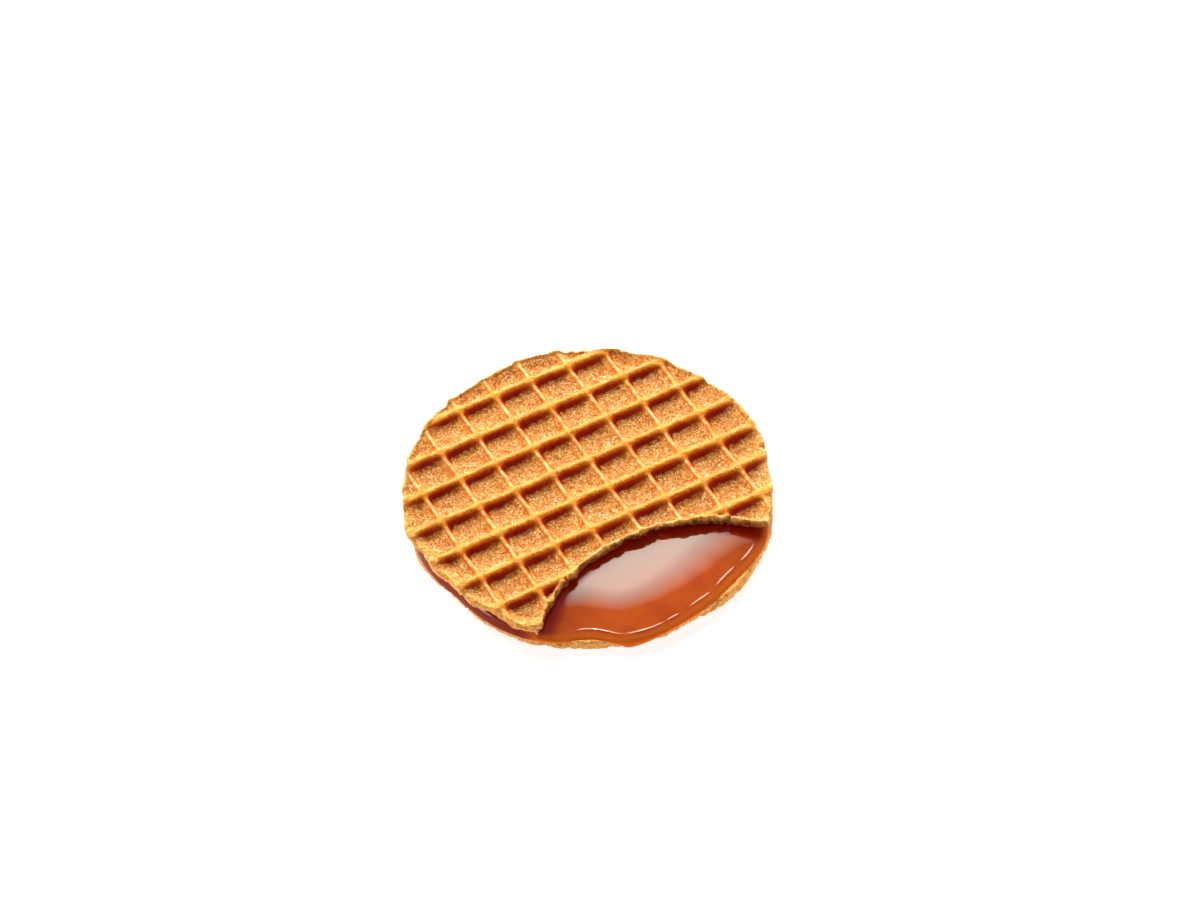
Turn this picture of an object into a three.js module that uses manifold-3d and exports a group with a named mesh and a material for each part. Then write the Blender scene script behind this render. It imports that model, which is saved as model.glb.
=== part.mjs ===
// A stroopwafel: two thin round waffles with a layer of caramel syrup between them.
// The upper waffle has a bite out of it, which bares the glossy caramel on the lower one.
// Millimetres, +Z up. The origin is the middle of the lower waffle's underside, where two of its
// ridges cross, and the bitten side faces -Y.

import * as THREE from "three";
import { mergeVertices } from "three/addons/utils/BufferGeometryUtils.js";
import Module from "manifold-3d";

const wasm = await Module();
wasm.setup();

// ---------------------------------------------------------------- driving dimensions

const waffleThickness = 2.7;
const syrupThickness = 2.1;
const syrupTop = waffleThickness + syrupThickness;
const wholeHeight = syrupTop + waffleThickness;

const lowerRadius = 39.2;
const upperRadius = 40;
const upperCentre = new THREE.Vector2(-0.9, 2);

// The iron's pattern: square pockets between straight ridges, turned on the waffle.
const pitch = 9;
const patternTurn = THREE.MathUtils.degToRad(26.4);
const pocketDepth = 1.8;
const pocketHalfFloor = 2.7;
const pocketHalfMouth = 3.5;
const ridgeShoulder = 0.35; // how far the ridges' rounded shoulders reach, down and sideways
const rimBorder = 1; // the closed border round the lower waffle's outermost pockets
const rimWallLean = 0.8; // how far that border's inner wall leans in towards its foot
const upperPhase = new THREE.Vector2(-0.86, 1.35); // a pocket's centre, from the upper waffle's
const lowerPhase = new THREE.Vector2(pitch / 2, pitch / 2); // puts a ridge crossing on the origin

const biteRadius = 37.4;
const biteAway = 55.1; // from the upper waffle's centre to the bite's
const biteAngle = -63; // the way to the bite's centre, in degrees
const biteScallop = 0.3; // the teeth's unevenness along the bite
const biteScallops = 23; // in a full turn of the bite's circle

const syrupSag = 0.7; // how much lower the bared caramel lies than the covered one
const overflowGap = 0.3; // between the lower waffle's side and the syrup that hangs over it
const overflowThickness = 0.9;
const overflowRoot = 1.5; // how far the overflow reaches back into the layer
const overflowLip = 0.9; // its height there, above the lower waffle's inner face
const overflowDrop = 2.1; // how far the longest drip hangs below that face

const toolReach = 1; // how far a cutting shape stands clear of what it cuts
const turnSegments = 120;
const biteSegments = 180;

// Side profiles from the foot up: how far inside the outline, at which share of the thickness.
const waffleRim = [
  { inset: 0.7, share: 0 },
  { inset: 0.2, share: 0.17 },
  { inset: 0, share: 0.5 },
  { inset: 0.25, share: 0.8 },
  { inset: 0.8, share: 1 },
];
const syrupRim = [
  { inset: 0.8, share: 0 },
  { inset: 0.1, share: 0.3 },
  { inset: 0.1, share: 0.55 },
  { inset: 0.6, share: 0.9 },
  { inset: 1.3, share: 1 },
];
// The bared caramel's face from its middle outwards: level, a shallow dip, a bead, a round brim.
const baredFace = [
  { inset: 8, rise: 0.18 },
  { inset: 6.2, rise: 0.15 },
  { inset: 2.3, rise: -0.1 },
  { inset: 1.3, rise: 0 },
  { inset: 0.6, rise: -0.14 },
  { inset: 0, rise: -0.65 },
  { inset: -1, rise: -0.9 },
];

// Where each round outline swells (out above 0) or draws in, at an angle in degrees, over a half
// width in degrees.
const upperLobes = [
  { at: -111.5, out: 2.1, wide: 6 },
  { at: -129, out: 0.5, wide: 6 },
  { at: -140, out: -0.8, wide: 5 },
  { at: -154, out: -0.9, wide: 5 },
  { at: -164, out: 0.6, wide: 7 },
  { at: -19, out: 0.6, wide: 9 },
  { at: 2, out: -0.6, wide: 9 },
  { at: 73, out: 0.6, wide: 9 },
  { at: 104, out: 0.6, wide: 10 },
  { at: 124, out: -0.6, wide: 10 },
];
const lowerLobes = [
  { at: -59, out: -0.7, wide: 8 },
  { at: -110, out: 0.5, wide: 12 },
  { at: -143, out: -1, wide: 10 },
  { at: -167, out: 0.6, wide: 10 },
  { at: 1, out: -0.7, wide: 12 },
  { at: 35, out: 0.5, wide: 14 },
  { at: 118, out: -0.4, wide: 16 },
];
const syrupLobes = [
  { at: -42, out: -1.2, wide: 14 },
  { at: -75, out: 0.9, wide: 7 },
  { at: -93, out: -0.9, wide: 6 },
  { at: -115, out: 0.9, wide: 12 },
  { at: -141, out: -0.7, wide: 7 },
  { at: -162, out: 0.6, wide: 12 },
  { at: 1, out: -0.7, wide: 12 },
  { at: 60, out: -0.7, wide: 20 },
  { at: 135, out: -0.5, wide: 15 },
];
// The longest drip comes on slowly from the bite's side and ends steeply.
const drip = { at: -80.5, slow: 9, steep: 3.5 };

// ---------------------------------------------------------------- helpers

// The angle from one direction to another, in degrees from -180 to 180.
const turnBetween = (from, to) => ((((to - from) % 360) + 540) % 360) - 180;

const bump = (distance, halfWidth) => Math.exp(-((distance / halfWidth) ** 2));

// How far an outline lies outside its round radius at an angle in degrees.
const swell = (lobes, angle) =>
  lobes.reduce((sum, lobe) => sum + lobe.out * bump(turnBetween(lobe.at, angle), lobe.wide), 0);

// A three.js geometry as a solid. Its vertices are merged, so that only a closed surface is left.
function solid(geometry) {
  const bare = geometry.clone();
  bare.deleteAttribute("normal");
  bare.deleteAttribute("uv");
  const merged = mergeVertices(bare, 1e-4);
  return new wasm.Manifold(
    new wasm.Mesh({
      numProp: 3,
      vertProperties: new Float32Array(merged.attributes.position.array),
      triVerts: new Uint32Array(merged.index.array),
    }),
  );
}

// A solid as a named, coloured mesh with flat facets.
function meshOf(name, made, material) {
  const { vertProperties, triVerts } = made.getMesh();
  const geometry = new THREE.BufferGeometry()
    .setAttribute("position", new THREE.BufferAttribute(new Float32Array(vertProperties), 3))
    .setIndex(new THREE.BufferAttribute(new Uint32Array(triVerts), 1));
  geometry.computeVertexNormals();
  const mesh = new THREE.Mesh(geometry, material);
  mesh.name = name;
  return mesh;
}

// A turned solid whose profile of [radius, height] points runs from the axis's foot to its top.
// Each vertex is then moved out or in, in proportion to its radius, to follow an uneven outline.
function turned(profile, lobes) {
  const points = profile.map(([radius, height]) => new THREE.Vector2(radius, height));
  const geometry = new THREE.LatheGeometry(points, turnSegments).rotateX(Math.PI / 2);
  const rim = Math.max(...profile.map(([radius]) => radius));
  const position = geometry.attributes.position;
  for (let i = 0; i < position.count; i++) {
    const x = position.getX(i);
    const y = position.getY(i);
    const angle = THREE.MathUtils.radToDeg(Math.atan2(y, x));
    const grown = 1 + swell(lobes, angle) / rim;
    position.setXY(i, x * grown, y * grown);
  }
  return solid(geometry);
}

// The points of a side profile between two heights.
const sidePoints = (rim, radius, foot, top) =>
  rim.map(({ inset, share }) => [radius - inset, foot + share * (top - foot)]);

// ---------------------------------------------------------------- waffles

// A flat round waffle on a given height, its rim worn round.
function waffleDisc(radius, lobes, foot) {
  const top = foot + waffleThickness;
  return turned([[0, foot], ...sidePoints(waffleRim, radius, foot, top), [0, top]], lobes);
}

// One pocket as a square funnel, its mouth at height 0 and its floor below, open well above.
function pocketTool() {
  const corner = Math.SQRT2; // a square's corner lies this many half widths from its middle
  const shoulderHalf = pocketHalfMouth + ridgeShoulder;
  const points = [
    [0, -pocketDepth],
    [pocketHalfFloor, -pocketDepth],
    [pocketHalfMouth, -ridgeShoulder],
    [shoulderHalf, 0],
    [shoulderHalf, toolReach],
    [0, toolReach],
  ].map(([half, height]) => new THREE.Vector2(half * corner, height));
  return solid(new THREE.LatheGeometry(points, 4, Math.PI / 4).rotateX(Math.PI / 2));
}

// All pockets of one face, mouths at height 0. The outermost ones run out past the rim.
function pockets(radius, phase) {
  const tool = pocketTool();
  const count = Math.ceil(radius / pitch);
  const outermost = radius + pocketHalfMouth;
  const cut = [];
  for (let column = -count; column <= count; column++) {
    for (let row = -count; row <= count; row++) {
      const centre = new THREE.Vector2(column, row).multiplyScalar(pitch).add(phase);
      if (centre.length() < outermost) {
        cut.push(tool.translate([centre.x, centre.y, 0]));
      }
    }
  }
  return wasm.Manifold.union(cut).rotate([0, 0, THREE.MathUtils.radToDeg(patternTurn)]);
}

// The space inside a rim's closed border, from a face at height 0 down.
function insideBorder(radius, lobes) {
  const mouth = radius - rimBorder;
  return turned(
    [
      [0, -waffleThickness],
      [mouth - rimWallLean, -waffleThickness],
      [mouth, 0],
      [mouth, toolReach],
      [0, toolReach],
    ],
    lobes,
  );
}

// The bite as an upright prism with a scalloped edge, where it lies in the upper waffle.
function biteTool(bottom, top) {
  const shape = new THREE.Shape();
  for (let i = 0; i < biteSegments; i++) {
    const turn = (2 * Math.PI * i) / biteSegments;
    const radius = biteRadius - biteScallop * Math.abs(Math.sin(0.5 * biteScallops * turn));
    shape[i === 0 ? "moveTo" : "lineTo"](radius * Math.cos(turn), radius * Math.sin(turn));
  }
  const angle = THREE.MathUtils.degToRad(biteAngle);
  return solid(
    new THREE.ExtrudeGeometry(shape, { depth: top - bottom, bevelEnabled: false }).translate(
      upperCentre.x + biteAway * Math.cos(angle),
      upperCentre.y + biteAway * Math.sin(angle),
      bottom,
    ),
  );
}

function lowerWaffle() {
  const pressed = pockets(lowerRadius, lowerPhase).intersect(insideBorder(lowerRadius, lowerLobes));
  return waffleDisc(lowerRadius, lowerLobes, 0).subtract(pressed.mirror([0, 0, 1]));
}

function upperWaffle() {
  const face = pockets(upperRadius, upperPhase).translate([0, 0, wholeHeight]);
  return waffleDisc(upperRadius, upperLobes, syrupTop)
    .subtract(face)
    .translate([upperCentre.x, upperCentre.y, 0])
    .subtract(biteTool(syrupTop - toolReach, wholeHeight + toolReach));
}

// ---------------------------------------------------------------- caramel

// The layer of syrup between the waffles, which bulges at its rim.
function syrupLayer() {
  return turned(
    [
      [0, waffleThickness],
      ...sidePoints(syrupRim, lowerRadius, waffleThickness, syrupTop),
      [0, syrupTop],
    ],
    syrupLobes,
  );
}

// The space over the bared caramel, inside the bite.
function aboveBared() {
  const bared = syrupTop - syrupSag;
  const space = turned(
    [
      [0, bared + baredFace[0].rise],
      ...baredFace.map(({ inset, rise }) => [lowerRadius - inset, bared + rise]),
      [lowerRadius + toolReach, wholeHeight],
      [0, wholeHeight],
    ],
    syrupLobes,
  );
  return space.intersect(biteTool(0, wholeHeight + toolReach));
}

// The syrup that has run over the lower waffle's rim: a loft of sections along the rim, each
// hanging as low as the drip does there. Its ends lie inside the layer.
function overflow() {
  const first = drip.at - 2 * drip.steep;
  const last = drip.at + 2 * drip.slow;
  const stations = 24;
  const corners = [];
  for (let i = 0; i <= stations; i++) {
    const angle = first + ((last - first) * i) / stations;
    const away = turnBetween(drip.at, angle);
    const share = bump(away, away > 0 ? drip.slow : drip.steep);
    const low = waffleThickness - overflowDrop * share;
    const side = lowerRadius + swell(lowerLobes, angle) + overflowGap;
    const root = side - overflowRoot;
    const proud = (overflowGap + overflowThickness) * Math.sqrt(share) - overflowGap;
    const outer = side + proud;
    const turn = THREE.MathUtils.degToRad(angle);
    for (const [radius, height] of [
      [root, waffleThickness + overflowLip],
      [root, low],
      [side + 0.5 * proud, low],
      [outer, 0.5 * (low + waffleThickness)],
      [outer, waffleThickness + 0.5 * overflowLip],
    ]) {
      corners.push(radius * Math.cos(turn), radius * Math.sin(turn), height);
    }
  }
  return loft(corners, stations, 5);
}

// A closed solid through sections of the same number of corners, with flat ends.
function loft(corners, stations, sides) {
  const index = [];
  for (let i = 0; i < stations; i++) {
    for (let k = 0; k < sides; k++) {
      const a = i * sides + k;
      const b = i * sides + ((k + 1) % sides);
      index.push(a, a + sides, b, b, a + sides, b + sides);
    }
  }
  const end = stations * sides;
  for (let k = 1; k < sides - 1; k++) {
    index.push(0, k, k + 1, end, end + k + 1, end + k);
  }
  const geometry = new THREE.BufferGeometry()
    .setAttribute("position", new THREE.BufferAttribute(new Float32Array(corners), 3))
    .setIndex(index);
  return solid(geometry);
}

// The whole filling: as thick as the gap under the upper waffle, sunk where the bite bares it,
// and hanging over the lower waffle's rim.
function caramel() {
  const waffleSide = lowerRadius + overflowGap;
  const clearOfWaffle = turned(
    [
      [0, -toolReach],
      [waffleSide, -toolReach],
      [waffleSide, waffleThickness],
      [0, waffleThickness],
    ],
    lowerLobes,
  );
  return syrupLayer().subtract(aboveBared()).add(overflow()).subtract(clearOfWaffle);
}

// ---------------------------------------------------------------- materials

const lowerCrust = new THREE.MeshStandardMaterial({
  color: 0xd89a52,
  roughness: 0.8,
  metalness: 0,
});
const upperCrust = new THREE.MeshStandardMaterial({
  color: 0xd07f35,
  roughness: 0.7,
  metalness: 0,
});
const caramelSyrup = new THREE.MeshStandardMaterial({
  color: 0xb5501a,
  roughness: 0.12,
  metalness: 0,
});

const stroopwafel = new THREE.Group();
stroopwafel.add(
  meshOf("lower_waffle", lowerWaffle(), lowerCrust),
  meshOf("caramel_filling", caramel(), caramelSyrup),
  meshOf("upper_waffle", upperWaffle(), upperCrust),
);

export default stroopwafel;
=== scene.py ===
"""A bitten stroopwafel: two crisp waffles with caramel syrup between them, on a white ground.

Each waffle is the zero surface of a field that is worked out on a fine grid: a round slab with
square pockets pressed into one face, an uneven rim and, on the upper one, a bite. The caramel is a
ring of side profiles round the lower waffle. Shapes are worked out in millimetres in the frame of
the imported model, and made in metres.
"""

import bpy
import numpy as np
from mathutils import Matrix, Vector


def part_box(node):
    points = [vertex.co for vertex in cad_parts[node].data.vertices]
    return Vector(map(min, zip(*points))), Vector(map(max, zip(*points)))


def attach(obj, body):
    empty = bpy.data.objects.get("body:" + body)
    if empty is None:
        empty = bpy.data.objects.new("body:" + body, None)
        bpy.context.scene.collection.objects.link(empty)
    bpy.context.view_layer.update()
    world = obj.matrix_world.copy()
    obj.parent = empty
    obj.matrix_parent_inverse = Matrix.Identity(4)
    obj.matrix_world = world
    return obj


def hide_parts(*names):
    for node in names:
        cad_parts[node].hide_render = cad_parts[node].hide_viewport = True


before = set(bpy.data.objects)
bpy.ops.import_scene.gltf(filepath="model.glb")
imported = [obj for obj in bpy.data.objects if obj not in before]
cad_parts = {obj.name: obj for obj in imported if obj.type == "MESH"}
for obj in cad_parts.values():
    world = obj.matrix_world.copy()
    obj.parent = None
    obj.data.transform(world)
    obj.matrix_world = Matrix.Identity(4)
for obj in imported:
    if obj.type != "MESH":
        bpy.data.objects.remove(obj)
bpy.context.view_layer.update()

MM = 0.001

# ---------------------------------------------------------------- sizes, in millimetres

LOWER_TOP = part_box("lower_waffle")[1].z / MM
UPPER_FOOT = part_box("upper_waffle")[0].z / MM
UPPER_CENTRE = np.array([-0.9, 2.0])
LOWER_CENTRE = np.array([0.0, 0.0])

PITCH = 9.0
PATTERN_TURN = np.radians(26.4)
UPPER_PHASE = np.array([-0.86, 1.35])
LOWER_PHASE = np.array([PITCH / 2, PITCH / 2])
POCKET_DEPTH = 1.8
# The walls of a pocket: where its floor ends, from its middle, and how broad the ridge's crest is,
# the broader the larger. The iron's cross ridges are narrow and a little lower.
MAIN_FLOOR, MAIN_CREST = 2.4, 1.3
CROSS_FLOOR, CROSS_CREST = 2.6, 0.7
CROSS_LOW = 0.13  # how much lower, as a share of the pockets' depth
SHADED_WAY = np.array([-0.35, 0.94])  # the way, along the pattern, that the flanks with painted shade face, turned from the light

# Towards a closed rim the pockets' floors rise up to the crests, which leaves a border. Towards an
# open rim and the bite they rise part of the way. A fade runs between two distances from there.
RIM_FADE, RIM_RISE_OPEN, RIM_RISE_CLOSED = (-3.8, -0.4), 0.62, 1.0
BITE_FADE, BITE_RISE = (-1.7, -0.5), 0.85
RIM_SAG = 0.2  # the crests sink towards the rim

BITE_CENTRE = np.array([24.11, -47.09])
BITE_RADIUS = 37.2
FAR_OUTSIDE = -99.0
BITE_SLANT = 0.12  # how the bitten face leans back, per millimetre of height
BITE_ROUGH = 2.1  # how much rougher than the rims it is

STEP = 0.33  # the grid's step
EDGE_ROUND = 0.55  # the radius to which the rims are worn
BITE_ROUND = 0.5
RIM_GROWN = 0.1  # what the pits take off the rims is put on again

# Unevenness as layers of noise, each with the size of its features and its height.
RIDGE_WAVER = ((9, 0.16), (2.9, 0.1), (1.1, 0.07))
CREST_WAVES = ((4.5, 0.06), (1.3, 0.04))
CRUMBLE = ((3.4, 0.28), (1.5, 0.18), (0.8, 0.14))
PIT_SIZE, PIT_DEEP = 1.05, 0.38
FLOOR_UNEVEN, DEPTH_UNEVEN = 0.2, 0.09  # from one pocket to the next


# ---------------------------------------------------------------- noise

class Noise:
    """Smooth value noise from a seeded lattice, from -1 to 1, with features of a given size."""

    SIDE = 64

    def __init__(self, seed):
        random = np.random.default_rng(seed)
        self.lattice = random.uniform(-1, 1, (self.SIDE,) * 3).astype(np.float32)

    def __call__(self, size, x, y, z=None):
        x, y = np.asarray(x) / size, np.asarray(y) / size
        z = np.zeros_like(x) if z is None else np.asarray(z) / size
        cells = [np.floor(c).astype(np.int64) for c in (x, y, z)]
        near = [(c - f) for c, f in zip((x, y, z), cells)]
        near = [t * t * (3 - 2 * t) for t in near]
        total = 0
        for corner in np.ndindex(2, 2, 2):
            share = 1
            for t, k in zip(near, corner):
                share = share * (t if k else 1 - t)
            index = tuple((c + k) % self.SIDE for c, k in zip(cells, corner))
            total = total + share * self.lattice[index]
        return total


def layered(noise, layers, x, y, z=None):
    return sum(height * noise(size, x, y, z) for size, height in layers)


# ---------------------------------------------------------------- outlines

WHOLE_DEGREES = np.arange(-180, 180)
SMOOTHED = 2.5  # the spread, in degrees, over which the CAD's corners are smoothed


def rim_of(node, centre, height):
    """The radius of a CAD node's outline about a centre, at each whole degree."""
    points = np.array([v.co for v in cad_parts[node].data.vertices]) / MM
    points = points[np.abs(points[:, 2] - height) < 0.05]
    away = points[:, :2] - centre
    angle = np.degrees(np.arctan2(away[:, 1], away[:, 0]))
    radius = np.hypot(away[:, 0], away[:, 1])
    outer = radius > 0.9 * radius.max()
    order = np.argsort(angle[outer])
    return np.interp(WHOLE_DEGREES, angle[outer][order], radius[outer][order], period=360)


def smooth_round(values):
    """A ring of values, one a degree, smoothed."""
    turn = np.arange(len(values))
    turn = np.minimum(turn, len(values) - turn)
    weight = np.exp(-((turn / SMOOTHED) ** 2))
    weight /= weight.sum()
    return np.real(np.fft.ifft(np.fft.fft(values) * np.fft.fft(weight)))


def outside(outline, x, y, centre):
    """How far points lie outside an outline, below 0 inside it."""
    angle = np.degrees(np.arctan2(y - centre[1], x - centre[0]))
    radius = np.interp(angle, WHOLE_DEGREES, outline, period=360)
    return np.hypot(x - centre[0], y - centre[1]) - radius


# ---------------------------------------------------------------- fields

def smooth_step(low, high, value):
    t = np.clip((value - low) / (high - low), 0, 1)
    return t * t * (3 - 2 * t)


def smooth_max(a, b, radius):
    """The larger of two distances, with the corner between them rounded."""
    h = np.maximum(radius - np.abs(a - b), 0) / radius
    return np.maximum(a, b) + h * h * radius * 0.25


def pocket_relief(x, y, phase, noise):
    """How far down a pressed face lies, as a share of the pockets' depth; its tone, 0 on every
    crest and 1 on every floor; where the cross ridges are; and how much painted shade it gets on
    the flanks turned from the light."""
    px = x + layered(noise, RIDGE_WAVER, x, y)
    py = y + layered(noise, RIDGE_WAVER, x + 71, y)
    c, s = np.cos(PATTERN_TURN), np.sin(PATTERN_TURN)
    u = px * c + py * s - phase[0]
    v = -px * s + py * c - phase[1]
    column, row = np.round(u / PITCH), np.round(v / PITCH)
    u, v = u - column * PITCH, v - row * PITCH
    uneven = FLOOR_UNEVEN * noise(1, column * 7.3 + 0.5, row * 5.1 + 0.5)
    main = smooth_step(PITCH / 2, MAIN_FLOOR + uneven, np.abs(v)) ** MAIN_CREST
    cross = smooth_step(PITCH / 2, CROSS_FLOOR + uneven, np.abs(u)) ** CROSS_CREST
    deep = 1 + DEPTH_UNEVEN * noise(1, column * 3.7 + 9.5, row * 9.1 + 4.5)
    # Painted shade: flanks that face this way are darkened, as they are turned from the light.
    way = (u * SHADED_WAY[0] + v * SHADED_WAY[1]) / (np.maximum(np.abs(u), np.abs(v)) + 0.1)
    relief = main * (CROSS_LOW + (1 - CROSS_LOW) * cross)
    return relief * deep, main * cross, main * (1 - cross), smooth_step(0.15, 0.95, way)


def pressed_face(x, y, rim, bite, phase, open_rim, noise):
    """A pressed face's drop from its highest plane, in millimetres, and the values of its tones."""
    relief, tone, cross, painted_shade = pocket_relief(x, y, phase, noise)
    near_rim = smooth_step(*RIM_FADE, rim)
    shallow = 1 - (RIM_RISE_OPEN if open_rim else RIM_RISE_CLOSED) * near_rim
    shallow = shallow * (1 - BITE_RISE * smooth_step(*BITE_FADE, bite))
    relief, painted_shade = relief * shallow, painted_shade * shallow
    waves = layered(noise, CREST_WAVES, x, y)
    grain = 0.1 * noise(0.95, x, y) + 0.09 * noise(0.62, x + 13, y)
    uneven = 0.12 - waves - grain * (0.5 + 0.5 * relief)
    drop = POCKET_DEPTH * relief + RIM_SAG * near_rim + uneven
    return np.maximum(drop, 0.01), {"recess": tone, "cross": cross, "painted_shade": painted_shade}


def crumbly(x, y, z, noise):
    """The unevenness of a broken or baked edge, with small pits, in millimetres."""
    pits = smooth_step(0.2, 0.6, noise(PIT_SIZE, x + 40, y, z))
    return layered(noise, CRUMBLE, x, y, z) + PIT_DEEP * pits


def into_bite(x, y, bitten=True):
    """How far inside the bite's circle points lie, or far outside it where nothing is bitten."""
    away = np.hypot(x - BITE_CENTRE[0], y - BITE_CENTRE[1])
    return BITE_RADIUS - away if bitten else np.full_like(away, FAR_OUTSIDE)


def waffle_field(grid, foot, top, centre, outline, phase, open_rim, noise, bitten, face_up):
    """A waffle as a field over a grid: below 0 inside, rising by about 1 a millimetre."""
    x, y, z = grid
    flat_x, flat_y = x[:, :, 0], y[:, :, 0]
    rim = outside(outline, flat_x, flat_y, centre)
    bite = into_bite(flat_x, flat_y, bitten)
    local_x, local_y = flat_x - centre[0], flat_y - centre[1]
    drop, _ = pressed_face(local_x, local_y, rim, bite, phase, open_rim, noise)
    rough = crumbly(x, y, z, noise)
    side = rim[:, :, None] + rough - RIM_GROWN
    broken = bite[:, :, None] + BITE_ROUGH * rough + BITE_SLANT * (top - z)
    side = smooth_max(side, broken, BITE_ROUND)
    high, low = (z - top, foot - z) if face_up else (foot - z, z - top)
    body = smooth_max(side, high + drop[:, :, None], EDGE_ROUND)
    return smooth_max(body, low, EDGE_ROUND)


def surface_net(field, origin, step):
    """The zero surface of a field as vertices and quads: one vertex in each cell it crosses."""
    shape = np.array(field.shape) - 1
    total = np.zeros(tuple(shape) + (3,), np.float32)
    count = np.zeros(tuple(shape), np.int32)
    inside = field < 0
    crossings = []
    for axis in range(3):
        near = [slice(None)] * 3
        far = [slice(None)] * 3
        near[axis], far[axis] = slice(None, -1), slice(1, None)
        at = np.argwhere(inside[tuple(near)] != inside[tuple(far)])
        start = field[tuple(near)][tuple(at.T)]
        end = field[tuple(far)][tuple(at.T)]
        place = at.astype(np.float32)
        place[:, axis] += start / (start - end)
        crossings.append((axis, at, start < 0))
        others = [k for k in range(3) if k != axis]
        for back in np.ndindex(2, 2):
            cell = at.copy()
            cell[:, others[0]] -= back[0]
            cell[:, others[1]] -= back[1]
            ok = np.all((cell >= 0) & (cell < shape), axis=1)
            np.add.at(total, tuple(cell[ok].T), place[ok])
            np.add.at(count, tuple(cell[ok].T), 1)
    used = count > 0
    number = np.full(count.shape, -1, np.int64)
    number[used] = np.arange(used.sum())
    vertices = total[used] / count[used][:, None] * step + np.array(origin)
    quads = []
    for axis, at, leaving in crossings:
        b, c = (axis + 1) % 3, (axis + 2) % 3
        ok = (at[:, b] > 0) & (at[:, c] > 0) & (at[:, b] < shape[b]) & (at[:, c] < shape[c])
        at, leaving = at[ok], leaving[ok]
        ring = []
        for db, dc in ((1, 1), (0, 1), (0, 0), (1, 0)):
            cell = at.copy()
            cell[:, b] -= db
            cell[:, c] -= dc
            ring.append(number[tuple(cell.T)])
        ring = np.stack(ring, axis=1)
        ring[~leaving] = ring[~leaving][:, ::-1]
        quads.append(ring)
    return vertices, np.concatenate(quads)


# ---------------------------------------------------------------- meshes

def make_mesh(name, vertices, faces, closing=()):
    """A smooth-shaded object in metres from millimetres, with optional many-sided faces."""
    mesh = bpy.data.meshes.new(name)
    every = [list(map(int, f)) for f in faces] + [list(map(int, f)) for f in closing]
    mesh.from_pydata((np.asarray(vertices, float) * MM).tolist(), [], every)
    mesh.validate()
    mesh.shade_smooth()
    made = bpy.data.objects.new(name, mesh)
    bpy.context.scene.collection.objects.link(made)
    return made


def open_edges(quads):
    """The edges that only one face uses, each running as that face's outline does."""
    edges = np.concatenate([np.stack([quads[:, k], quads[:, (k + 1) % 4]], 1) for k in range(4)])
    key = np.sort(edges, axis=1)
    key = key[:, 0] * (edges.max() + 1) + key[:, 1]
    _, index, uses = np.unique(key, return_index=True, return_counts=True)
    return edges[index[uses == 1]]


def without_hidden(quads, hidden):
    """The quads that aren't hidden, and those that keep the hole's outline from meeting itself."""
    kept = ~hidden[quads].all(axis=1)
    while True:
        start, uses = np.unique(open_edges(quads[kept])[:, 0], return_counts=True)
        pinched = np.isin(quads, start[uses > 1]).any(axis=1) & ~kept
        if not pinched.any():
            return quads[kept]
        kept |= pinched


def boundary_loops(quads):
    """The closed outlines of the mesh's holes, each in the order of the face that fills it."""
    after = {int(b): int(a) for a, b in open_edges(quads)}
    loops = []
    while after:
        first, at = after.popitem()
        loop = [first]
        while at != first:
            loop.append(at)
            at = after.pop(at)
        loops.append(loop)
    return loops


def put_values(made, name, values):
    attribute = made.data.attributes.new(name, "FLOAT", "POINT")
    attribute.data.foreach_set("value", np.asarray(values, np.float32))


def waffle(name, node, centre, phase, seed, ring, open_rim, bitten, face_up):
    """A pressed waffle in place of a CAD node. Ring says at which share of the CAD's height, and
    how far inside its widest outline, the CAD's rim has a ring of points all the way round."""
    foot, top = (corner.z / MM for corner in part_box(node))
    share, inset = ring
    noise = Noise(seed)
    outline = smooth_round(rim_of(node, centre, foot + share * (top - foot)) + inset)
    if bitten:
        outline = mend_bitten(outline, centre)
    reach, spare = outline.max() + 1.5, 2.5 * STEP
    low = [centre[0] - reach, centre[1] - reach, foot - spare]
    high = [centre[0] + reach, centre[1] + reach, top + spare]
    axes = [np.arange(a, b + STEP, STEP) for a, b in zip(low, high)]
    grid = np.meshgrid(*axes, indexing="ij")
    field = waffle_field(grid, foot, top, centre, outline, phase, open_rim, noise, bitten, face_up)
    vertices, quads = surface_net(field, low, STEP)
    vertices[:, 2] = np.clip(vertices[:, 2], foot, top)

    rim = outside(outline, vertices[:, 0], vertices[:, 1], centre)
    bite = into_bite(vertices[:, 0], vertices[:, 1], bitten)
    on_plain_face = np.abs(vertices[:, 2] - (foot if face_up else top)) < 0.02
    hidden = on_plain_face & (rim < -4) & (bite < -3)
    quads = without_hidden(quads, hidden)
    used, back = np.unique(quads, return_inverse=True)
    quads = back.reshape(quads.shape)
    vertices, rim, bite = vertices[used], rim[used], bite[used]
    made = make_mesh(name, vertices, quads, boundary_loops(quads))

    local = vertices[:, :2] - centre
    _, tones = pressed_face(*local.T, rim, bite, phase, open_rim, noise)
    for value_name, values in tones.items():
        put_values(made, value_name, values)
    above = vertices[:, 2] - foot + 0.5 * noise(1.6, *vertices.T)
    broken = smooth_step(-1.3, -0.3, bite)
    # Darker towards the bite's foot: partly syrup that has seeped in, partly painted shade.
    put_values(made, "soaked_and_shaded", smooth_step(2.1, 1.2, above) * broken)
    put_values(made, "crumb", np.maximum(smooth_step(-1.5, -0.2, rim), broken))
    return made


def mend_bitten(outline, centre):
    """Where the bite took the rim away, the outline runs straight on between the corners."""
    angle = np.radians(WHOLE_DEGREES)
    x = centre[0] + outline * np.cos(angle)
    y = centre[1] + outline * np.sin(angle)
    whole = into_bite(x, y) < -1
    return np.interp(WHOLE_DEGREES, WHOLE_DEGREES[whole], outline[whole], period=360)


# ---------------------------------------------------------------- caramel

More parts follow.
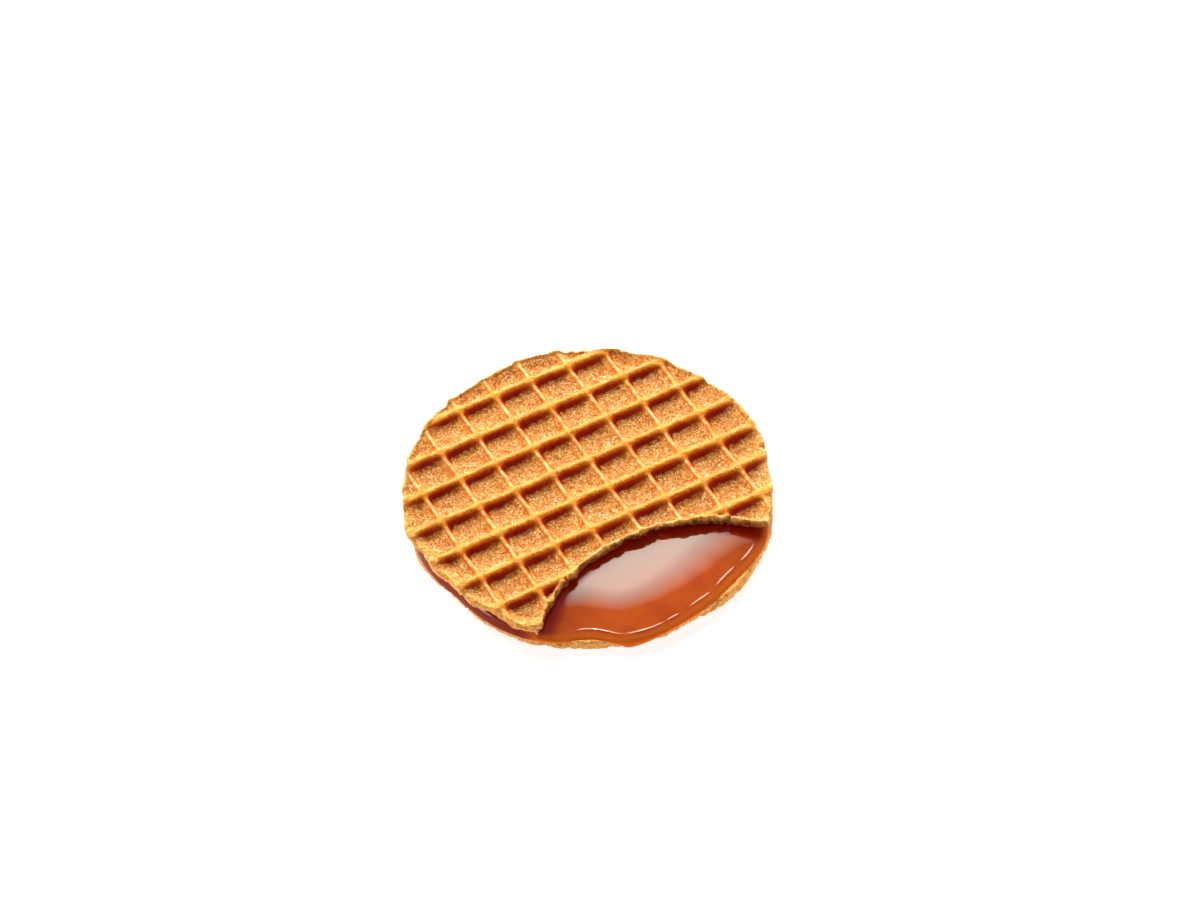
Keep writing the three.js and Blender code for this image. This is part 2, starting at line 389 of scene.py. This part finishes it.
BARED = 4.35  # the height of the bared caramel's level middle
CAD_BRIM = 3.33  # the height at which the CAD's filling has its brim
MEAN_RADIUS = 39
ROUND_FROM = 14.0  # from this far inside its rim the bared face bends down
ROUND = 0.0055  # how fast, per millimetre
WORN_FROM, WORN = 1.6, 0.16  # and faster at the very rim
CLIMB, CLIMB_WIDE = 0.14, 0.7  # how the syrup climbs towards the upper waffle round the bite
BRIM = 0.8  # the width of the rounded brim
SUNK = 0.4  # how far the brim's foot reaches into the lower waffle's worn edge
DRIP_AT, DRIP_SLOW, DRIP_STEEP = -80.5, 9.0, 3.5  # the drip's angle and its two half widths
DRIP_DROP, DRIP_THICK = 2.1, 1.2  # how far it hangs, and stands out from the lower waffle's side
COLUMNS = 720  # points in a ring
INNER_RINGS = np.linspace(0.02, 0.3, 7)  # where the rings lie, as shares of the shoulder's radius
FACE_RINGS = np.linspace(0.31, 0.935, 46)
FINE_RINGS = np.linspace(0.937, 1, 38)
# Low ripples along the brim, each with its angle and half width in degrees.
BEADS = [(-90, 7), (-75, 6), (-65, 2), (-53.5, 4), (-40.5, 4.5), (-28, 3.5)]
BEAD_HIGH, BEAD_WIDE, BEAD_INSET = 0.12, 0.22, 1.9


def turn_between(start, end):
    return (end - start + 180) % 360 - 180


def drip_share(angle):
    away = turn_between(DRIP_AT, angle)
    return np.exp(-((away / np.where(away > 0, DRIP_SLOW, DRIP_STEEP)) ** 2))


def bead_share(angle, noise):
    """Where the syrup piles up a little along its brim, from 0 to about 1."""
    share = 0
    for at, wide in BEADS:
        share = np.maximum(share, np.exp(-((turn_between(at, angle) / wide) ** 2)))
    uneven = 1 + 0.15 * noise(2.5, angle, 0 * angle)
    return np.clip(1.25 * share - 0.2, 0, 1) * uneven


def caramel_face(x, y, rim, angle, noise):
    """The height of the caramel's upper face."""
    bared = BARED - ROUND * np.maximum(rim + ROUND_FROM, 0) ** 2
    bared = bared - WORN * np.maximum(rim + WORN_FROM, 0) ** 2
    inset = BEAD_INSET + 0.3 * noise(7, angle, 0 * angle + 9)
    bead = BEAD_HIGH * np.exp(-(((rim + inset) / BEAD_WIDE) ** 2))
    bite = into_bite(x, y)
    climb = CLIMB * np.exp(-np.maximum(bite, 0) / CLIMB_WIDE)
    bared = bared + bead * bead_share(angle, noise) + climb
    covered = smooth_step(-0.7, -2.0, bite)
    return bared + (UPPER_FOOT - bared) * covered


def caramel_sides(angle, noise):
    """At each angle, the radius of the caramel, of the lower waffle's side below it, and the drip's
    share."""
    brim = smooth_round(rim_of("caramel_filling", LOWER_CENTRE, CAD_BRIM) + 0.1)
    brim = np.interp(angle, WHOLE_DEGREES, brim, period=360)
    brim = brim + 0.12 * noise(5, MEAN_RADIUS * np.radians(angle), 0 * angle)
    side = smooth_round(rim_of("lower_waffle", LOWER_CENTRE, 0.5 * LOWER_TOP))
    side = np.interp(angle, WHOLE_DEGREES, side, period=360)
    share = drip_share(angle)
    return brim + (side + DRIP_THICK - brim) * np.sqrt(share), side, share


def caramel(name):
    """The filling as rings of points, from its middle over the brim and down to its foot. A ring
    is its radii, its heights and how far it lies past the brim."""
    noise = Noise(31)
    angle = np.linspace(-180, 180, COLUMNS, endpoint=False)
    out, side, share = caramel_sides(angle, noise)
    c, s = np.cos(np.radians(angle)), np.sin(np.radians(angle))
    shoulder = out - BRIM

    rings = []
    for at in np.concatenate([INNER_RINGS, FACE_RINGS, FINE_RINGS]):
        r = at * shoulder
        rings.append((r, caramel_face(r * c, r * s, r - out, angle, noise), r - out))
    head = rings[-1][1]
    slope = (rings[-2][1] - head) / (rings[-1][0] - rings[-2][0])
    foot = LOWER_TOP - SUNK - (DRIP_DROP - SUNK) * share
    widest = LOWER_TOP - (LOWER_TOP - 0.5 * (head + foot)) * share
    for k in np.linspace(0, np.pi / 2, 12)[1:]:
        r = shoulder + BRIM * np.sin(k)
        bend = (head - widest - slope * BRIM) * (1 - np.cos(k))
        rings.append((r, head - slope * (r - shoulder) - bend, r - out))
    for k in np.linspace(0, np.pi / 2, 9)[1:]:
        tucked = BRIM * (1 - np.cos(k)) * np.sqrt(share)
        rings.append((out - tucked, widest + (foot - widest) * np.sin(k), 0 * out + np.sin(k)))
    rings.append((side - 1.5, 0 * out + LOWER_TOP - SUNK, 0 * out + 1))

    vertices = np.concatenate([np.stack([r * c, r * s, z], 1) for r, z, _ in rings])
    faces = []
    for k in range(len(rings) - 1):
        a = k * COLUMNS + np.arange(COLUMNS)
        b = k * COLUMNS + (np.arange(COLUMNS) + 1) % COLUMNS
        faces.append(np.stack([a, a + COLUMNS, b + COLUMNS, b], 1))
    first = list(range(COLUMNS))
    last = [len(vertices) - 1 - k for k in range(COLUMNS)]
    made = make_mesh(name, vertices, np.concatenate(faces), [first, last])
    put_values(made, "past_brim", np.concatenate([past for _, _, past in rings]))
    put_values(made, "into_bite", into_bite(*vertices[:, :2].T))
    return made


# ---------------------------------------------------------------- materials

def new_material(name):
    material = bpy.data.materials.new(name)
    material.use_nodes = True
    tree = material.node_tree
    tree.nodes.clear()
    shader = tree.nodes.new("ShaderNodeBsdfPrincipled")
    output = tree.nodes.new("ShaderNodeOutputMaterial")
    tree.links.new(shader.outputs["BSDF"], output.inputs["Surface"])
    return material, tree, shader


class Wiring:
    """Short calls that add nodes to a material and return the output that is used."""

    def __init__(self, tree):
        self.tree = tree
        self.place = tree.nodes.new("ShaderNodeTexCoord").outputs["Object"]

    def link(self, source, socket):
        if hasattr(source, "is_output"):
            self.tree.links.new(source, socket)
        else:
            socket.default_value = source

    def value(self, name):
        node = self.tree.nodes.new("ShaderNodeAttribute")
        node.attribute_name = name
        return node.outputs["Fac"]

    def noise(self, size_mm, detail=2.0, rough=0.5, distort=0.0):
        node = self.tree.nodes.new("ShaderNodeTexNoise")
        self.tree.links.new(self.place, node.inputs["Vector"])
        node.inputs["Scale"].default_value = 1 / (size_mm * MM)
        node.inputs["Detail"].default_value = detail
        node.inputs["Roughness"].default_value = rough
        node.inputs["Distortion"].default_value = distort
        return node.outputs["Fac"]

    def math(self, operation, a, b=0.0):
        node = self.tree.nodes.new("ShaderNodeMath")
        node.operation = operation
        self.link(a, node.inputs[0])
        self.link(b, node.inputs[1])
        return node.outputs[0]

    def span(self, source, low, high, to_low=0.0, to_high=1.0):
        node = self.tree.nodes.new("ShaderNodeMapRange")
        node.interpolation_type = "SMOOTHSTEP"
        self.link(source, node.inputs["Value"])
        for socket, number in zip(("From Min", "From Max", "To Min", "To Max"),
                                  (low, high, to_low, to_high)):
            node.inputs[socket].default_value = number
        return node.outputs["Result"]

    def mix(self, share, a, b, blend="MIX"):
        node = self.tree.nodes.new("ShaderNodeMix")
        node.data_type = "RGBA"
        node.blend_type = blend
        self.link(share, node.inputs["Factor"])
        self.link(a, node.inputs["A"])
        self.link(b, node.inputs["B"])
        return node.outputs["Result"]

    def bump(self, height, distance_mm, strength=1.0, normal=None):
        node = self.tree.nodes.new("ShaderNodeBump")
        self.link(height, node.inputs["Height"])
        node.inputs["Distance"].default_value = distance_mm * MM
        node.inputs["Strength"].default_value = strength
        if normal is not None:
            self.tree.links.new(normal, node.inputs["Normal"])
        return node.outputs["Normal"]


def srgb(red, green, blue):
    """A colour as it is seen, 0 to 255, as the shader's linear colour."""
    def linear(value):
        value = value / 255
        return value / 12.92 if value <= 0.04045 else ((value + 0.055) / 1.055) ** 2.4
    return (linear(red), linear(green), linear(blue), 1.0)


# Painted shadow, for the middle of the flanks turned from the light.
PAINTED_SHADOW = srgb(128, 18, 6)
# The bite foot's colour: syrup that has seeped in, with painted shade.
SOAKED_AND_SHADED = srgb(134, 34, 8)
DARKENED = (0.77, 0.52, 0.4, 1.0)  # a share of each channel


def baked_waffle(name, crest, shoulder, flank, painted_shade, floor, speck_and_glint, crumb):
    """Baked waffle: golden crests with a painted highlight along the cross ridges, red-brown flanks
    with painted shade and shadow on those turned from the light, speckled pocket floors whose
    specks are partly painted glints, an open pale crumb where the waffle ends or is broken."""
    material, tree, shader = new_material(name)
    w = Wiring(tree)
    recess, turned, ends = w.value("recess"), w.value("painted_shade"), w.value("crumb")
    grain = w.noise(0.7, 3, 0.7)
    fine = w.noise(0.4, 2, 0.6)
    clump = w.noise(1.5, 3, 0.6)
    wide = w.noise(8, 3, 0.6)

    # Crests, pale along the thin cross ridges as a painted highlight, and orange as painted shade
    # towards a flank turned from the light.
    thin = w.span(w.value("cross"), 0.5, 0.95)
    thin = w.math("MULTIPLY", thin, w.span(clump, 0.4, 0.6, 0.2, 0.8))
    colour = w.mix(turned, w.mix(thin, crest, speck_and_glint), shoulder)

    # Flanks, with painted shade on those turned from the light and a darker painted shadow in
    # their middle, and floors.
    side = w.mix(turned, flank, painted_shade)
    colour = w.mix(w.span(recess, 0.08, 0.34), colour, side)
    shadow_core = w.math("MULTIPLY", w.span(turned, 0.55, 1.0, 0.0, 0.6), w.span(recess, 0.3, 0.6))
    colour = w.mix(shadow_core, colour, PAINTED_SHADOW)
    # Painted cast shadow: below a shaded flank the floor's colour begins further down.
    level = w.math("SUBTRACT", recess, w.math("MULTIPLY", turned, 0.42))
    level = w.math("ADD", level, w.span(clump, 0.3, 0.7, -0.06, 0.06))
    colour = w.mix(w.span(level, 0.34, 0.54), colour, floor)

    # Darker patches, clumps and grains.
    darker = w.mix(1.0, colour, DARKENED, "MULTIPLY")
    colour = w.mix(w.span(wide, 0.45, 0.72, 0.0, 0.45), colour, darker)
    colour = w.mix(w.span(clump, 0.52, 0.36, 0.0, 0.8), colour, darker)
    colour = w.mix(w.span(grain, 0.5, 0.38), colour, darker)

    # The crumb of the rims and the bite.
    pale = w.mix(w.span(grain, 0.53, 0.42, 0.0, 0.8), crumb, shoulder)
    colour = w.mix(w.math("MULTIPLY", ends, w.span(clump, 0.3, 0.5, 0.35, 1.0)), colour, pale)

    # Golden and cream grains, partly the crust's own grain and partly painted glints, most of them
    # on the floors and in the crumb.
    many = w.math("MAXIMUM", w.span(level, 0.32, 0.56), w.span(recess, 0.12, 0.0, 0.0, 0.35))
    many = w.math("MAXIMUM", many, w.math("MULTIPLY", ends, 0.7))
    golden = w.math("MULTIPLY", w.span(grain, 0.5, 0.57), many)
    colour = w.mix(w.math("MULTIPLY", golden, 0.8), colour, crest)
    cream = w.math("MULTIPLY", w.span(fine, 0.53, 0.61), many)
    colour = w.mix(w.math("MULTIPLY", cream, w.span(clump, 0.35, 0.6, 0.35, 1.0)), colour, speck_and_glint)

    # Darker towards the bite's foot, by the caramel: partly syrup that has seeped in, partly
    # painted shade where the waffle meets the caramel.
    soaked_and_shaded = w.math("MULTIPLY", w.value("soaked_and_shaded"), w.span(grain, 0.35, 0.6, 1.0, 0.7))
    colour = w.mix(soaked_and_shaded, colour, SOAKED_AND_SHADED)

    w.link(colour, shader.inputs["Base Color"])
    w.link(w.span(fine, 0.4, 0.65, 0.6, 0.34), shader.inputs["Roughness"])
    relief = w.math("ADD", w.math("MULTIPLY", grain, 0.65), w.math("MULTIPLY", fine, 0.35))
    small = w.bump(relief, 0.3, 0.9)
    w.link(w.bump(w.math("MULTIPLY", clump, ends), 1.2, 0.9, small), shader.inputs["Normal"])
    shader.inputs["Specular IOR Level"].default_value = 0.1
    return material


def caramel_syrup(name):
    """Caramel syrup: mirror-smooth, brown where it is deep, orange where it thins out towards the
    brim and a brighter orange at the brim as painted light, a painted red glow by the upper waffle,
    and red-brown under it, partly deeper syrup and partly painted shade."""
    material, tree, shader = new_material(name)
    w = Wiring(tree)
    cloud = w.noise(11, 2, 0.5, 0.6)
    streak = w.noise(4, 2, 0.5, 0.8)
    brim, bite = w.value("past_brim"), w.value("into_bite")
    thin = w.mix(w.span(cloud, 0.35, 0.65), srgb(172, 64, 10), srgb(182, 76, 14))
    thin = w.mix(w.span(streak, 0.45, 0.8, 0.0, 0.4), thin, srgb(156, 50, 8))
    colour = w.mix(w.span(brim, -12.5, -7.0), srgb(138, 50, 10), thin)
    # A painted red glow by the upper waffle, standing for light that the syrup carries into its
    # shadow.
    colour = w.mix(w.span(bite, 2.9, 2.0), colour, srgb(184, 54, 10))
    colour = w.mix(w.span(bite, 2.0, 0.5), colour, srgb(178, 28, 8))
    # Painted light: the brim, which faces away from the lamps, is a brighter orange.
    colour = w.mix(w.span(brim, -1.8, -0.4), colour, srgb(224, 104, 14))
    # Red-brown under the upper waffle: partly deeper syrup, partly painted shade.
    colour = w.mix(w.span(bite, 0.0, -5.0), colour, srgb(136, 40, 14))
    w.link(colour, shader.inputs["Base Color"])
    w.link(w.span(cloud, 0.3, 0.7, 0.02, 0.045), shader.inputs["Roughness"])
    w.link(w.span(brim, -0.6, -0.1, 0.5, 0.05), shader.inputs["Specular IOR Level"])
    shader.inputs["Subsurface Weight"].default_value = 0.15
    shader.inputs["Subsurface Radius"].default_value = (2.0, 0.5, 0.15)
    shader.inputs["Subsurface Scale"].default_value = 1.0 * MM
    shader.inputs["IOR"].default_value = 1.6
    return material


def ground_material():
    material, tree, shader = new_material("pale_ground")
    w = Wiring(tree)
    colour = w.mix(w.noise(300, 2, 0.5), (0.5, 0.5, 0.5, 1), (0.53, 0.53, 0.53, 1))
    w.link(colour, shader.inputs["Base Color"])
    w.link(colour, shader.inputs["Emission Color"])
    shader.inputs["Emission Strength"].default_value = 1.5
    shader.inputs["Roughness"].default_value = 0.9
    shader.inputs["Specular IOR Level"].default_value = 0.0
    return material


# ---------------------------------------------------------------- stage

SOFTBOX_WHITE = (0.98, 1.0, 0.86)
KEY_WHITE = (1.0, 0.93, 0.82)
STRIP_WHITE = (1.0, 0.97, 0.9)
SIDE_WHITE = (1.0, 0.98, 0.94)
SOFTBOX = 8.0  # its radiance
SOFTBOX_LOW, SOFTBOX_HIGH = 22, 51.5  # the elevations of its edges
SOFTBOX_STEPS = 9  # its upper edge fades out over this many degrees


def aim(thing, target):
    way = Vector(target) - thing.location
    thing.rotation_euler = way.to_track_quat("-Z", "Y").to_euler()


def area_light(name, azimuth, elevation, width, height, radiance, colour):
    """A softbox one metre away. Azimuth 0 is behind the biscuit as the camera sees it, and 90 to
    its right."""
    data = bpy.data.lights.new(name, "AREA")
    data.shape = "RECTANGLE"
    data.size, data.size_y = width, height
    data.energy = radiance * np.pi * width * height
    data.color = colour
    lamp = bpy.data.objects.new(name, data)
    lamp.visible_camera = False
    bpy.context.scene.collection.objects.link(lamp)
    a, e = np.radians(azimuth), np.radians(elevation)
    lamp.location = (np.sin(a) * np.cos(e), np.cos(a) * np.cos(e), np.sin(e))
    aim(lamp, (0, 0, 0))


def lights():
    """A big softbox behind, made of overlapping ones so that it fades out above; a key on the
    left; a low bright strip; and a weak light on either side."""
    world = bpy.data.worlds.new("studio")
    world.use_nodes = True
    background = world.node_tree.nodes["Background"]
    background.inputs["Color"].default_value = (1.0, 1.0, 1.0, 1.0)
    background.inputs["Strength"].default_value = 0.2
    bpy.context.scene.world = world
    for step in range(SOFTBOX_STEPS):
        high = SOFTBOX_HIGH + step
        height = 2 * np.tan(np.radians(high - SOFTBOX_LOW) / 2)
        area_light(f"softbox_{step}", azimuth=-15.5, elevation=(SOFTBOX_LOW + high) / 2, width=0.86,
                   height=height, radiance=SOFTBOX / SOFTBOX_STEPS, colour=SOFTBOX_WHITE)
    area_light("strip_low", azimuth=-5, elevation=19, width=1.1, height=0.07, radiance=60,
               colour=STRIP_WHITE)
    area_light("key_left", azimuth=-45, elevation=42, width=0.3, height=0.3, radiance=14.2,
               colour=KEY_WHITE)
    for side, name in ((-1, "side_left"), (1, "side_right")):
        area_light(name, azimuth=100 * side, elevation=10, width=0.5, height=0.3, radiance=7,
                   colour=SIDE_WHITE)


def camera():
    """The view looks along +Y from above, and is rolled a little."""
    data = bpy.data.cameras.new("camera")
    data.sensor_width = 36
    data.lens = 148.08
    data.clip_start, data.clip_end = 0.01, 20
    eye = bpy.data.objects.new("camera", data)
    bpy.context.scene.collection.objects.link(eye)
    elevation, roll, distance = np.radians(47.775), np.radians(-2.684), 1.06899
    target = Vector((2.119 * MM, 10.983 * MM, 7.5 * MM))
    back = Vector((0, -np.cos(elevation), np.sin(elevation)))
    eye.location = target + distance * back
    aim(eye, target)
    eye.rotation_euler.rotate_axis("Z", roll)
    bpy.context.scene.camera = eye


def ground():
    bpy.ops.mesh.primitive_plane_add(size=6, location=(0, 0, 0))
    floor = bpy.context.object
    floor.name = "ground"
    floor.data.materials.append(ground_material())


# ---------------------------------------------------------------- build

def main():
    lower = waffle("lower_waffle_baked", "lower_waffle", LOWER_CENTRE, LOWER_PHASE, 11,
                   ring=(0.8, 0.25), open_rim=False, bitten=False, face_up=False)
    upper = waffle("upper_waffle_baked", "upper_waffle", UPPER_CENTRE, UPPER_PHASE, 23,
                   ring=(0.17, 0.2), open_rim=True, bitten=True, face_up=True)
    filling = caramel("caramel_syrup")

    # The darker flank colour of each crust is painted shade, for flanks turned from the light; the
    # cream colour for specks is partly grain and partly painted glints.
    upper.data.materials.append(baked_waffle(
        "upper_crust", crest=srgb(234, 162, 50), shoulder=srgb(236, 130, 4),
        flank=srgb(214, 124, 38), painted_shade=srgb(186, 42, 6), floor=srgb(212, 128, 42),
        speck_and_glint=srgb(255, 226, 172), crumb=srgb(238, 168, 76)))
    # Lighter colours than the upper waffle's: painted light, as the lower one's sides lie in shade.
    lower.data.materials.append(baked_waffle(
        "lower_crust_painted_light", crest=srgb(248, 174, 82), shoulder=srgb(238, 134, 38),
        flank=srgb(224, 130, 48), painted_shade=srgb(206, 90, 26), floor=srgb(230, 140, 50),
        speck_and_glint=srgb(255, 226, 168), crumb=srgb(252, 172, 82)))
    filling.data.materials.append(caramel_syrup("caramel"))

    for piece, node, name in ((lower, "lower_waffle", "lower_waffle"),
                              (filling, "caramel_filling", "caramel"),
                              (upper, "upper_waffle", "upper_waffle")):
        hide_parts(node)
        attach(piece, "root")

    ground()
    lights()
    camera()
    bpy.context.scene.view_settings.view_transform = "Standard"


main()
